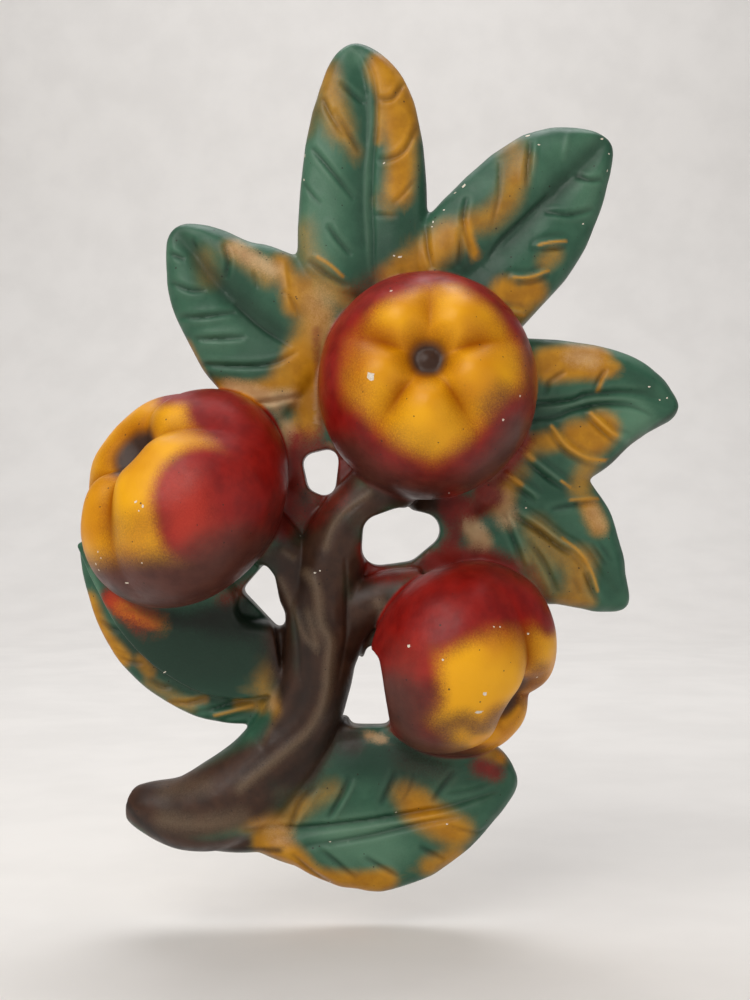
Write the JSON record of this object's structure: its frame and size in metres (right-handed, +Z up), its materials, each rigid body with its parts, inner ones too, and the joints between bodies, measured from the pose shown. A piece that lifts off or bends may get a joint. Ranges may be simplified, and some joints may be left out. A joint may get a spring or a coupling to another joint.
{
  "type": "decorative wall plaque",
  "caption": "Cast plaster wall plaque of ripe apples on a forked branch with broad veined leaves, with a flat back and a nail recess to hang it by.",
  "frame": {"origin": "centre of the nail recess's mouth, on the flat back, where the plaque hangs", "axes": "+Z up, +Y out of the flat back towards the wall, so the fruit faces -Y, and +X to the right seen from the front"},
  "size_m": [0.2068, 0.055, 0.2924],
  "materials": {
    "painted_plaster": "hand-sprayed paint under satin varnish"
  },
  "bodies": {
    "root": {"cast_plaque": "painted_plaster"}
  },
  "joints": []
}
